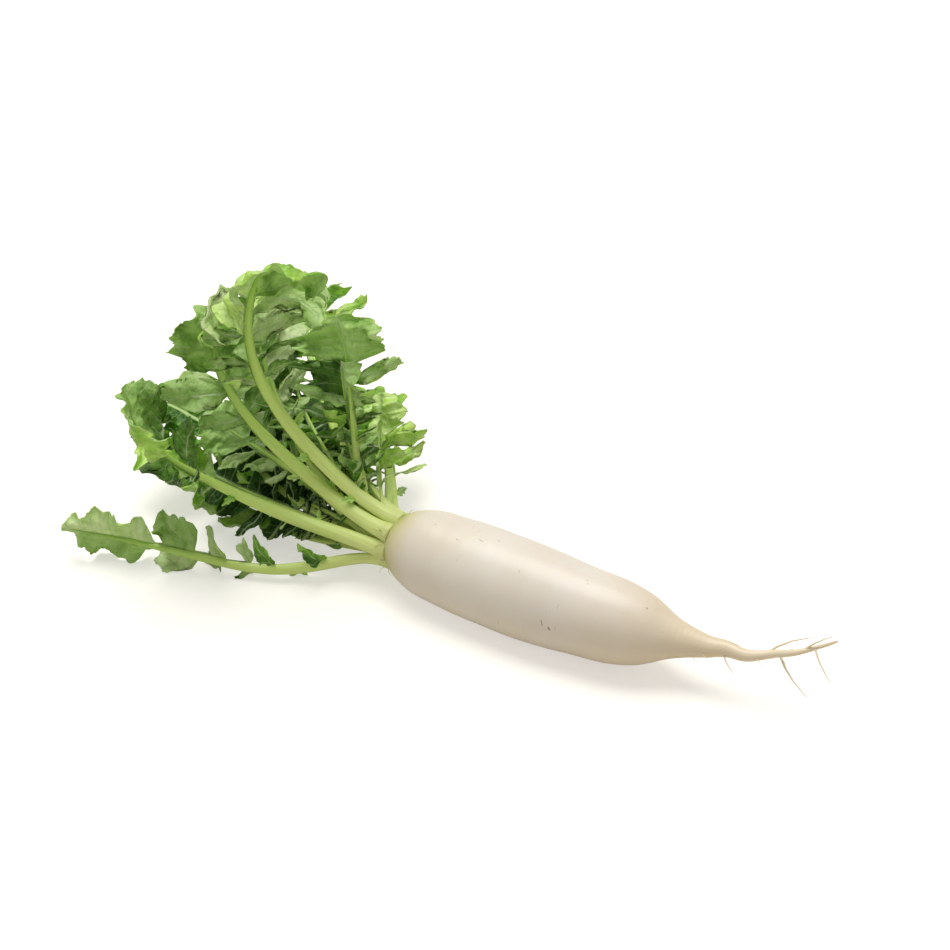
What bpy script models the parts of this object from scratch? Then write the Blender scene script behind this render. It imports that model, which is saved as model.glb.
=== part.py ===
"""A daikon radish pulled with its leaves on, lying on its side. Metres, +Z up.

The root lies along X, with its crown towards -X and its tail towards +X, and rests on a small flat
on its belly, whose middle is the origin. The leaves grow from the crown in two rings. Each leaf is
two objects: the pale stalk, which runs on as the midrib to the tip, and the green blade, a thin sheet
on the stalk's upper side that is cut into leaflets below a large end lobe.
"""

import math
from collections import namedtuple

import bmesh
import bpy
import numpy as np

# The root
ROOT_RADIUS = 0.0315  # at its thickest
BELLY_AT = 0.084  # from the crown face to the middle of the flat that it rests on
BELLY_CUT = 0.0008  # how much of the round belly the flat takes off
TAIL_BOW = 0.033  # how far the tail bends towards +Y
TAIL_RISE = 0.026  # how far the tail's end stands above the root's own line
ROOT_SIDES = 32
# Distance from the flat crown face that the leaves stand on, radius
ROOT_PROFILE = [
    (0.000, 0.0160),
    (0.008, 0.0222),
    (0.020, 0.0275),
    (0.045, 0.0304),
    (0.090, 0.0315),
    (0.140, 0.0293),
    (0.170, 0.0265),
    (0.185, 0.0225),
    (0.205, 0.0130),
    (0.225, 0.0073),
    (0.250, 0.0040),
    (0.302, 0.0008),
]

# The rootlets on the tail: where they leave it, clock angle, length, radius, bend towards the floor
ROOTLETS = [
    (0.240, 165, 0.020, 0.0007, 0.6),
    (0.258, 30, 0.026, 0.0007, 0.5),
    (0.272, 240, 0.024, 0.0007, 0.1),
    (0.285, 110, 0.026, 0.0006, 0.9),
    (0.291, 330, 0.022, 0.0006, 1.1),
]

# The crown: a short green stem in the middle of the crown face
CROWN_RADIUS = 0.0085
CROWN_LENGTH = 0.0120
GAP = 0.0003  # between pieces that touch
FLOOR_GAP = 0.0004  # under the leaves that lie on the floor

# The leaves
OUTER_RING = 0.0134  # distance of the outer stalks from the crown's axis
INNER_RING = 0.0054
STALK_RADIUS = {"outer": 0.0052, "inner": 0.0031}  # at the foot
MIDRIB_TIP = 0.0006
STALK_GROOVE = 0.35  # height of the stalk's flat upper side, as a share of its radius
BLADE_THICK = 0.0007
WING = 0.0012  # how far the blade stands out beside the midrib between two leaflets
END_LOBE_AT = 0.52  # where the large end lobe begins, as a share of the blade
LEAFLET_SWEEP = 0.38  # how far a leaflet leans forward for each metre that it reaches out
# A leaflet's edge, from its near side to its far side: share of its width, share of its reach
LEAFLET_EDGE = [(0.00, 0.00), (0.12, 0.64), (0.34, 0.97), (0.62, 1.00), (0.86, 0.66), (1.00, 0.00)]
LEAFLET_WIDTHS = (0.72, 0.92)  # of the lowest and the topmost leaflets, as a share of their spacing
# The end lobe's edge, from its foot to the leaf's tip
LOBE_EDGE = [(0.00, 0.00), (0.07, 0.60), (0.17, 0.92), (0.27, 0.84), (0.38, 1.06), (0.48, 0.92)]
LOBE_EDGE += [(0.59, 0.98), (0.69, 0.78), (0.79, 0.70), (0.88, 0.44), (0.96, 0.26), (1.00, 0.08)]

# How each leaf grows, in order round the crown. heading and rise give the stalk's direction near its
# foot, at mid length and at its tip, in degrees: heading from -X towards +Y, rise from the horizontal.
# roll turns the blade about the stalk, bare is the share of the length below the first leaflets, pairs
# and reach are the number of leaflets on a side and the length of the longest, and curl is the angle,
# in radians, by which their ends bend up.
Habit = namedtuple("Habit", "length heading rise roll bare pairs reach curl")
OUTER_LEAVES = [  # from the near side, up over the crown and down on the far side
    Habit(0.225, (-30, -20, -30), (-10, 5, 10), -45, 0.40, 3, 0.024, 0.0),
    Habit(0.220, (-10, -25, -90), (5, 25, 80), -100, 0.55, 3, 0.046, -1.5),
    Habit(0.215, (5, -15, -60), (10, 45, 105), -10, 0.50, 3, 0.038, 0.0),
    Habit(0.260, (-5, -10, 55), (25, 65, 160), 45, 0.50, 4, 0.056, -2.0),
    Habit(0.220, (15, 35, 45), (15, 30, 0), -90, 0.50, 4, 0.044, 0.0),
    Habit(0.120, (35, 50, -5), (5, 30, 25), -80, 0.45, 3, 0.050, -1.0),
    Habit(0.220, (-5, 0, -20), (-8, 0, 45), -10, 0.40, 3, 0.034, 1.0),
]
INNER_LEAVES = [
    Habit(0.155, (5, 5, -5), (20, 10, 20), -75, 0.50, 3, 0.028, -0.5),
    Habit(0.150, (30, 45, 20), (35, 70, 65), 30, 0.50, 3, 0.044, -1.0),
    Habit(0.200, (5, 15, -5), (10, 50, 95), 70, 0.50, 3, 0.038, 1.0),
    Habit(0.170, (0, 40, 40), (-5, -5, 60), -70, 0.50, 3, 0.032, -1.0),
    Habit(0.205, (-5, 15, 5), (5, 10, 0), 15, 0.45, 3, 0.032, 0.5),
]
OUTER_START = 232  # place of each ring's first leaf round the crown: 0 is towards +Y, 90 upwards
INNER_START = 192
Leaf = namedtuple("Leaf", ("name", "ring", "clock", "seed", *Habit._fields))


def all_leaves():
    """The leaves of both rings, evenly spaced round the crown."""
    leaves = []
    rings = (("outer", OUTER_START, OUTER_LEAVES), ("inner", INNER_START, INNER_LEAVES))
    for ring, start, habits in rings:
        for place, habit in enumerate(habits):
            number = len(leaves) + 1
            clock = start - 360 / len(habits) * place
            leaves.append(Leaf(f"leaf_{number:02d}", ring, clock, number, *habit))
    return leaves


COLOURS = {  # linear colour, roughness
    "root_skin": ((0.78, 0.70, 0.57), 0.42),
    "crown_green": ((0.42, 0.48, 0.10), 0.50),
    "stalk_green": ((0.40, 0.53, 0.16), 0.45),
    "blade_green": ((0.11, 0.27, 0.04), 0.55),
}


def unit(vectors):
    return vectors / np.linalg.norm(vectors, axis=-1, keepdims=True)


def smooth(points, at):
    """A smooth curve through points of (place, value), read at each of the places in at."""
    x, y = np.array(points, float).T
    slope = np.gradient(y, x)
    i = np.clip(np.searchsorted(x, at, side="right") - 1, 0, len(x) - 2)
    h = x[i + 1] - x[i]
    t = (at - x[i]) / h
    return (
        (2 * t**3 - 3 * t**2 + 1) * y[i]
        + (t**3 - 2 * t**2 + t) * h * slope[i]
        + (3 * t**2 - 2 * t**3) * y[i + 1]
        + (t**3 - t**2) * h * slope[i + 1]
    )


def material(name):
    colour, roughness = COLOURS[name]
    made = bpy.data.materials.new(name)
    made.use_nodes = True
    shader = made.node_tree.nodes["Principled BSDF"]
    shader.inputs["Base Color"].default_value = (*colour, 1)
    shader.inputs["Roughness"].default_value = roughness
    shader.inputs["Metallic"].default_value = 0
    return made


def add_object(name, mesh, finish):
    made = bpy.data.objects.new(name, mesh)
    mesh.materials.append(finish)
    bpy.context.scene.collection.objects.link(made)
    return made


def loft(name, rings):
    """A closed mesh through rings of points, each ring turning anticlockwise as seen from the last."""
    rings = np.array(rings)
    bm = bmesh.new()
    made = [[bm.verts.new(p) for p in ring] for ring in rings]
    for near, far in zip(made, made[1:]):
        for k in range(len(near)):
            n = (k + 1) % len(near)
            bm.faces.new((near[k], near[n], far[n], far[k]))
    bm.faces.new(made[0][::-1])
    bm.faces.new(made[-1])
    bmesh.ops.triangulate(bm, faces=bm.faces)
    bmesh.ops.recalc_face_normals(bm, faces=bm.faces)
    mesh = bpy.data.meshes.new(name)
    bm.to_mesh(mesh)
    bm.free()
    mesh.shade_smooth()
    return mesh


# ---------------------------------------------------------------- the root


def root_radius(s):
    """Radius of the root at distance s from the crown face."""
    return smooth(ROOT_PROFILE, s)


def root_line(s):
    """Points on the root's centre line: straight through the body, the tail bowing and rising."""
    s = np.asarray(s, float)
    end = ROOT_PROFILE[-1][0]
    bend = np.clip((s - BELLY_AT) / (end - BELLY_AT), 0, 1)
    lift = np.clip((s - 0.19) / (end - 0.19), 0, 1)
    height = ROOT_RADIUS - BELLY_CUT + TAIL_RISE * lift**4
    return np.stack([s - BELLY_AT, TAIL_BOW * bend**2.1, height], axis=-1)


def ring_round(centre, along, radius, sides, across=(0, 0, 1)):
    """A ring of points round a centre, square to the direction along."""
    along = unit(np.array(along, float))
    side = unit(np.cross(across, along))
    up = np.cross(along, side)
    turn = np.linspace(0, 2 * math.pi, sides, endpoint=False)
    return centre + radius * (np.outer(np.cos(turn), side) + np.outer(np.sin(turn), up))


def build_root(finish):
    end = ROOT_PROFILE[-1][0]
    places = np.concatenate(
        [
            [0, 0.0012, 0.003, 0.006, 0.010, 0.015, 0.022, 0.030, 0.042],
            np.linspace(0.056, 0.164, 8),
            np.linspace(0.173, 0.229, 8),
            np.linspace(0.240, end, 9),
        ]
    )
    line = root_line(places)
    along = np.gradient(line, places, axis=0)
    radii = root_radius(places)
    rings = [
        ring_round(c, d, r, ROOT_SIDES) for c, d, r in zip(line, along, radii)
    ]
    mesh = loft("root", rings)
    bm = bmesh.new()
    bm.from_mesh(mesh)
    cut = bmesh.ops.bisect_plane(
        bm,
        geom=bm.verts[:] + bm.edges[:] + bm.faces[:],
        plane_co=(0, 0, 0),
        plane_no=(0, 0, 1),
        clear_inner=True,
        dist=1e-7,
    )
    rim = [e for e in cut["geom_cut"] if isinstance(e, bmesh.types.BMEdge)]
    bmesh.ops.contextual_create(bm, geom=rim)
    bmesh.ops.recalc_face_normals(bm, faces=bm.faces)
    bm.to_mesh(mesh)
    bm.free()
    root = add_object("root", mesh, finish)
    grow_rootlets(root)
    return root


def grow_rootlets(root):
    """Thin side roots with their feet sunk in the tail, joined to the root by one Boolean union."""
    group = bpy.data.collections.new("rootlets")
    bpy.context.scene.collection.children.link(group)
    for number, (s, clock, length, radius, sag) in enumerate(ROOTLETS):
        start = root_line(s)
        turn = math.radians(clock)
        out = np.array([0.9, 0.7 * math.cos(turn), 0.7 * math.sin(turn)])
        heading = unit(out)
        points = [start + heading * 0.2 * float(root_radius(s))]
        steps = 6
        for _ in range(steps):
            heading = unit(heading + np.array([0.12, 0, -sag / steps * 1.6]))
            points.append(points[-1] + heading * length / steps)
        points = np.array(points)
        points[:, 2] = np.maximum(points[:, 2], 0.002)
        along = np.gradient(points, axis=0)
        taper = np.linspace(1.3, 0.6, steps + 1) * radius
        rings = [ring_round(c, d, r, 5) for c, d, r in zip(points, along, taper)]
        made = bpy.data.objects.new(f"rootlet_{number}", loft("rootlet", rings))
        group.objects.link(made)
    join = root.modifiers.new("rootlets", "BOOLEAN")
    join.operation = "UNION"
    join.operand_type = "COLLECTION"
    join.collection = group
    graph = bpy.context.evaluated_depsgraph_get()
    joined = bpy.data.meshes.new_from_object(root.evaluated_get(graph))
    root.modifiers.remove(join)
    root.data = joined
    for helper in list(group.objects):
        bpy.data.objects.remove(helper)
    bpy.data.collections.remove(group)


# ---------------------------------------------------------------- the crown


def build_crown(finish):
    """The stump of stem between the outer leaf stalks. The inner stalks stand on its end."""
    foot = root_line(0.0)
    rings = []
    for share, width in ((0, 1), (0.5, 1.01), (0.86, 1), (1, 0.96)):
        centre = foot - np.array([GAP + CROWN_LENGTH * share, 0, 0])
        rings.append(ring_round(centre, (-1, 0, 0), CROWN_RADIUS * width, 20))
    return add_object("crown", loft("crown", rings), finish)


# ---------------------------------------------------------------- the leaves

Path = namedtuple("Path", "length line along across up radius height")


def leaf_path(leaf):
    """The stalk's line from foot to tip, with its three directions, radius and the blade's height."""
    count = 161
    share = np.linspace(0, 1, count)
    turns = []
    for near, middle, tip in (leaf.heading, leaf.rise):
        bends = [(0, near * 0.3), (0.10, near), (0.5, middle), (1, tip)]
        turns.append(np.radians(smooth(bends, share)))
    heading, rise = turns
    flat = np.cos(rise)
    along = np.stack([-flat * np.cos(heading), flat * np.sin(heading), np.sin(rise)], axis=-1)
    clock = math.radians(leaf.clock)
    outward = np.array([0, math.cos(clock), math.sin(clock)])
    if leaf.ring == "inner":
        foot = outward * INNER_RING - np.array([CROWN_LENGTH + 2 * GAP + 0.0006, 0, 0])
    else:
        foot = outward * OUTER_RING - np.array([GAP + 0.0010, 0, 0])
    steps = (along[1:] + along[:-1]) / 2 * leaf.length / (count - 1)
    line = root_line(0.0) + foot + np.concatenate([np.zeros((1, 3)), np.cumsum(steps, axis=0)])
    up = np.empty_like(along)
    up[0] = unit(-outward + along[0] * np.dot(outward, along[0]))
    for i in range(1, count):
        up[i] = unit(up[i - 1] - along[i] * np.dot(up[i - 1], along[i]))
    across = np.cross(up, along)
    roll = np.radians(leaf.roll) * np.clip(share / leaf.bare, 0, 1)
    cos, sin = np.cos(roll)[:, None], np.sin(roll)[:, None]
    up, across = up * cos + across * sin, across * cos - up * sin
    widths = [(0, 1), (0.08, 0.92), (0.22, 0.84), (leaf.bare, 0.66), (0.8, 0.32)]
    radius = STALK_RADIUS[leaf.ring] * np.interp(share, *zip(*widths, (1, 0)))
    radius = np.maximum(radius, MIDRIB_TIP)
    height = STALK_GROOVE * radius + GAP + 0.0002 + BLADE_THICK / 2
    return Path(leaf.length, line, along, across, up, radius, height)


def read(path, field, s):
    """One of the path's values at distance s along it."""
    values = getattr(path, field)
    places = np.linspace(0, path.length, len(values))
    if values.ndim == 1:
        return np.interp(s, places, values)
    return np.stack([np.interp(s, places, column) for column in values.T], axis=-1)


def build_stalk(leaf, path, finish):
    """A tube with a flat upper side, thick at its foot and drawn out to the midrib's tip."""
    groove = STALK_GROOVE
    section = [(0.94, groove), (-0.94, groove), (-1, -0.1), (-0.62, -0.78), (0, -1)]
    section += [(0.62, -0.78), (1, -0.1)]
    rings = []
    for s in np.linspace(0, 0.93, 16) * leaf.length:
        centre, across, up = (read(path, f, s) for f in ("line", "across", "up"))
        radius = read(path, "radius", s)
        rings.append([centre + radius * (a * across + b * up) for a, b in section])
    return add_object(f"{leaf.name}_stalk", loft(leaf.name, rings), finish)


Row = namedtuple("Row", "share reach full curl")  # each of the last three holds (left, right)


def blade_outline(leaf):
    """Rows across the blade from foot to tip: how far it reaches on each side and how it curls."""
    rng = np.random.default_rng(leaf.seed)
    rows = []
    weights = np.linspace(0.75, 1.25, leaf.pairs)
    edges = leaf.bare + (1 - leaf.bare) * END_LOBE_AT * np.cumsum([0, *weights]) / weights.sum()
    sizes = np.linspace(0.45, 1.0, leaf.pairs) ** 0.8
    widths = np.diff(edges) * np.linspace(*LEAFLET_WIDTHS, leaf.pairs)
    for near, width, size in zip(edges, widths, sizes):
        full = leaf.reach * size * rng.uniform(0.88, 1.12, 2)
        curl = np.stack([rng.uniform(-0.15, 0.35, 2), leaf.curl + rng.uniform(-0.5, 0.5, 2)])
        for place, reach in LEAFLET_EDGE:
            rows.append(Row(near + width * place, full * reach, full, curl.T))
    full = leaf.reach * 0.78 * np.ones(2)
    curl = np.stack([rng.uniform(-0.05, 0.3, 2), leaf.curl + rng.uniform(-0.3, 0.3, 2)])
    for place, reach in LOBE_EDGE:
        notch = rng.uniform(0.93, 1.07, 2)
        rows.append(Row(edges[-1] + (1 - edges[-1]) * place, full * reach * notch, full, curl.T))
    return rows


def blade_point(leaf, path, share, side, reach, full, curl):
    """A point of the blade, reach metres out from the midrib's edge along the leaflet's arc."""
    lean = LEAFLET_SWEEP * reach * min(1, leaf.length * (1 - share) / 0.05)
    at = leaf.length * share + lean
    centre, across, up = (read(path, f, at) for f in ("line", "across", "up"))
    edge, height = read(path, "radius", at), read(path, "height", at)
    first, last = curl
    bend = (last - first) / full + 1e-6
    out = (math.sin(first + bend * reach) - math.sin(first)) / bend
    lift = (math.cos(first) - math.cos(first + bend * reach)) / bend
    return centre + side * (edge + out) * across + (height + lift) * up


def blade_rows(leaf, path):
    """The blade's points, row by row, each row from the left edge to the right."""
    rows = []
    for number, row in enumerate(blade_outline(leaf)):
        points = []
        for side, reach, full, curl in zip((-1, 1), row.reach, row.full, row.curl):
            wave = 0.12 * math.sin(2.4 * number + 1.7 * side)
            for part in (0, 0.36, 0.7, 1):
                turn = (curl[0], curl[1] + wave * part)
                points.append(
                    blade_point(leaf, path, row.share, side, (reach + WING) * part, full, turn)
                )
        rows.append(points[3::-1] + points[4:])
    rows = np.array(rows)
    rows[:, :, 2] = np.maximum(rows[:, :, 2], FLOOR_GAP + BLADE_THICK / 2)
    return rows


def build_blade(leaf, path, finish):
    """The green sheet, as rows of triangles that the thickness then doubles alike on both faces."""
    bm = bmesh.new()
    rows = [[bm.verts.new(p) for p in row] for row in blade_rows(leaf, path)]
    for near, far in zip(rows, rows[1:]):
        for k in range(len(near) - 1):
            bm.faces.new((near[k], near[k + 1], far[k + 1]))
            bm.faces.new((near[k], far[k + 1], far[k]))
    mesh = bpy.data.meshes.new(f"{leaf.name}_blade")
    bm.to_mesh(mesh)
    bm.free()
    blade = add_object(f"{leaf.name}_blade", mesh, finish)
    thickness = blade.modifiers.new("thickness", "SOLIDIFY")
    thickness.thickness = BLADE_THICK
    thickness.offset = 0
    return blade


def main():
    for old in list(bpy.data.objects):
        bpy.data.objects.remove(old)
    finishes = {name: material(name) for name in COLOURS}
    build_root(finishes["root_skin"])
    build_crown(finishes["crown_green"])
    for leaf in all_leaves():
        path = leaf_path(leaf)
        build_stalk(leaf, path, finishes["stalk_green"])
        build_blade(leaf, path, finishes["blade_green"])


main()
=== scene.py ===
"""A daikon radish pulled with its leaves on, lying on a pale floor. Metres, +Z up.

The root lies along X with its crown towards -X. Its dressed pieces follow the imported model: the same
centre lines and outlines, drawn finer, with the skin, the veins and the small hairs added. Only the side
roots leave the tail at places of their own.
"""

import math
from collections import namedtuple

import bpy
import numpy as np
from mathutils import Matrix, Vector, noise


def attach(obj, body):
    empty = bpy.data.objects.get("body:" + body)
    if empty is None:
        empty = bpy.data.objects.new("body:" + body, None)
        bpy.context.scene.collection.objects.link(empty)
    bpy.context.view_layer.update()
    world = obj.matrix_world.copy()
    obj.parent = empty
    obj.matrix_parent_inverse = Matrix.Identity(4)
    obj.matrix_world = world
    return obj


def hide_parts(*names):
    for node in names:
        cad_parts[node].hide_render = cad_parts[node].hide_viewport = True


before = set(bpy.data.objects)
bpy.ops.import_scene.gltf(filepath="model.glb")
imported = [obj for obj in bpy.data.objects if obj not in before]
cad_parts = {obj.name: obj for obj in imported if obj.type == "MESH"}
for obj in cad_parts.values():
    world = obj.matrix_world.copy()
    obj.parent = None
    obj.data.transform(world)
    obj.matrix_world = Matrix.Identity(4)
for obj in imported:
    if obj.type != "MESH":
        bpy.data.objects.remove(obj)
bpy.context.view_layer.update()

# ---------------------------------------------------------------- the root
# The swollen white root, straight through its body and drawn out to a thin tail. It is firm, wet flesh
# under a thin waxy skin, and every other piece of the plant grows from it.

ROOT_RADIUS = 0.0315
BELLY_AT = 0.084  # from the crown face to the middle of the flat that the root rests on
BELLY_CUT = 0.0008
SHOULDER_END = 0.012
BODY_END = 0.170
TAIL_LIFTS_FROM = 0.190
TAIL_KINKS_FROM = 0.225
TAIL_BOW = 0.033
TAIL_RISE = 0.026
# Distance from the flat crown face that the leaves stand on, radius
ROOT_PROFILE = [
    (0.000, 0.0160),
    (0.008, 0.0222),
    (0.020, 0.0275),
    (0.045, 0.0304),
    (0.090, 0.0315),
    (0.140, 0.0293),
    (0.170, 0.0265),
    (0.185, 0.0225),
    (0.205, 0.0130),
    (0.225, 0.0073),
    (0.250, 0.0040),
    (0.302, 0.0008),
]
ROOT_END = ROOT_PROFILE[-1][0]
ROOT_SIDES = 144
# How far the skin departs from a smooth round, and over what length
LUMP = 0.022  # as a share of the radius
LUMP_SIZE = 0.045
RIPPLE = 0.00010
RIPPLE_SIZE = 0.006
WRINKLE = 0.00003
WRINKLE_SPACING = 0.0045
# What the skin's patterns measure
WANDER_SIZE = 0.036
CLOUD_SIZE = 0.045
PORE_SPACING = 0.005
PORE_PATCH = 0.030
DOT_SPACING = 0.008


def linear(colour):
    """An sRGB colour such as "e8e1d5" as the linear colour that shaders take."""
    parts = [int(colour[i : i + 2], 16) / 255 for i in (0, 2, 4)]
    return [c / 12.92 if c < 0.04045 else ((c + 0.055) / 1.055) ** 2.4 for c in parts] + [1.0]


def node(tree, kind, values=None, links=None):
    """A node of a material, with its settings, its socket values and the sockets that feed it."""
    made = tree.nodes.new(kind)
    for name, value in (values or {}).items():
        if name == "stops":
            ramp = made.color_ramp.elements
            while len(ramp) < len(value):
                ramp.new(0.5)
            for element, (place, colour) in zip(ramp, value):
                element.position = place
                element.color = linear(colour)
        elif isinstance(name, int) or name in made.inputs:
            made.inputs[name].default_value = value
        else:
            setattr(made, name, value)
    for name, source in (links or {}).items():
        socket = source.outputs[0] if isinstance(source, bpy.types.Node) else source
        tree.links.new(socket, made.inputs[name])
    return made


def new_material(name):
    """An empty node tree with its output, and the material that holds it."""
    made = bpy.data.materials.new(name)
    made.use_nodes = True
    made.node_tree.nodes.clear()
    return made, made.node_tree


def unit(vectors):
    """The same directions, one metre long."""
    return vectors / np.linalg.norm(vectors, axis=-1, keepdims=True)


def smooth(points, at):
    """A smooth curve through points of (place, value), read at each of the places in at."""
    x, y = np.array(points, float).T
    slope = np.gradient(y, x)
    i = np.clip(np.searchsorted(x, at, side="right") - 1, 0, len(x) - 2)
    h = x[i + 1] - x[i]
    t = (at - x[i]) / h
    return (
        (2 * t**3 - 3 * t**2 + 1) * y[i]
        + (t**3 - 2 * t**2 + t) * h * slope[i]
        + (3 * t**2 - 2 * t**3) * y[i + 1]
        + (t**3 - t**2) * h * slope[i + 1]
    )


def bumps(points, size, seed=0.0):
    """Smooth random values from about -1 to 1, one a point, that vary over the given size."""
    shift = Vector((seed, seed * 1.7, -seed))
    return np.array([noise.noise(Vector(p) / size + shift) for p in points])


def add_piece(name, points, faces, materials, node_name=None):
    """A smooth-shaded mesh that rides on the root and, if asked, stands for a node of the model."""
    mesh = bpy.data.meshes.new(name)
    mesh.from_pydata(np.asarray(points).tolist(), [], faces)
    mesh.validate()
    for finish in materials:
        mesh.materials.append(finish)
    mesh.shade_smooth()
    piece = bpy.data.objects.new(name, mesh)
    bpy.context.scene.collection.objects.link(piece)
    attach(piece, "root")
    if node_name:
        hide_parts(node_name)
    return piece


def tube_faces(rings, sides):
    """Faces of a closed tube whose points come ring by ring, both ends closed."""
    faces = []
    for i in range(rings - 1):
        for k in range(sides):
            n = (k + 1) % sides
            faces.append((i * sides + k, i * sides + n, (i + 1) * sides + n, (i + 1) * sides + k))
    faces.append(tuple(range(sides))[::-1])
    faces.append(tuple(range((rings - 1) * sides, rings * sides)))
    return faces


def root_line(s):
    """Points on the root's centre line: straight through the body, the tail bowing and rising."""
    s = np.asarray(s, float)
    bend = np.clip((s - BELLY_AT) / (ROOT_END - BELLY_AT), 0, 1)
    lift = np.clip((s - TAIL_LIFTS_FROM) / (ROOT_END - TAIL_LIFTS_FROM), 0, 1)
    height = ROOT_RADIUS - BELLY_CUT + TAIL_RISE * lift**4
    return np.stack([s - BELLY_AT, TAIL_BOW * bend**2.1, height], axis=-1)


def rings_along(line, radii, sides, across=(0, 0, 1)):
    """Round rings of points, square to the line that they follow."""
    along = unit(np.gradient(line, axis=0))
    side = unit(np.cross(across, along))
    up = np.cross(along, side)
    turn = np.linspace(0, 2 * math.pi, sides, endpoint=False)
    out = np.cos(turn)[None, :, None] * side[:, None] + np.sin(turn)[None, :, None] * up[:, None]
    return line[:, None] + radii[:, None, None] * out, out


def tail_kink(s):
    """How far the crooked tail strays from its plain line."""
    past = np.asarray(s, float) - TAIL_KINKS_FROM
    kinked = np.clip(past / 0.02, 0, 1)
    sideways = 0.0016 * kinked * np.sin(2 * math.pi * past / 0.031)
    upward = 0.0012 * kinked * np.sin(2 * math.pi * past / 0.043)
    return np.stack([0 * sideways, sideways, upward], axis=-1)


def lumps(points, radii):
    """How far the skin swells past or falls short of a true round: the body isn't quite round."""
    return LUMP * radii * bumps(points, LUMP_SIZE, 3.1)


def build_root(finish):
    """The root: closer rings on the shoulder, faint lumps and ripples, and wrinkles round the taper."""
    shoulder = np.linspace(0, SHOULDER_END - 0.0002, 36)
    body = np.linspace(SHOULDER_END, BODY_END, 150)
    places = np.concatenate([shoulder, body, np.linspace(BODY_END + 0.001, ROOT_END, 150)])
    radii = smooth(ROOT_PROFILE, places)
    rings, out = rings_along(root_line(places), radii, ROOT_SIDES)
    flat = rings.reshape(-1, 3)
    reach = np.repeat(radii, ROOT_SIDES)
    at = np.repeat(places, ROOT_SIDES)
    ripples = RIPPLE * bumps(flat * (1, 0.35, 0.35), RIPPLE_SIZE, 8.0)
    wrinkled = np.clip((at - BODY_END + 0.005) / 0.04, 0, 1) * np.clip(reach / 0.010, 0, 1)
    rings_of_skin = np.sin(2 * math.pi * at / WRINKLE_SPACING + 9 * bumps(flat, 0.025, 1.0))
    wrinkles = WRINKLE * wrinkled * rings_of_skin * (1 + bumps(flat, 0.012, 4.0))
    raised = lumps(flat, reach) + ripples + wrinkles
    flat = flat + raised[:, None] * out.reshape(-1, 3) + tail_kink(at)
    flat[:, 2] = np.maximum(flat[:, 2], 0)
    faces = tube_faces(len(places), ROOT_SIDES)
    return add_piece("root_skin", flat, faces, [finish], "root")


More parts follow.
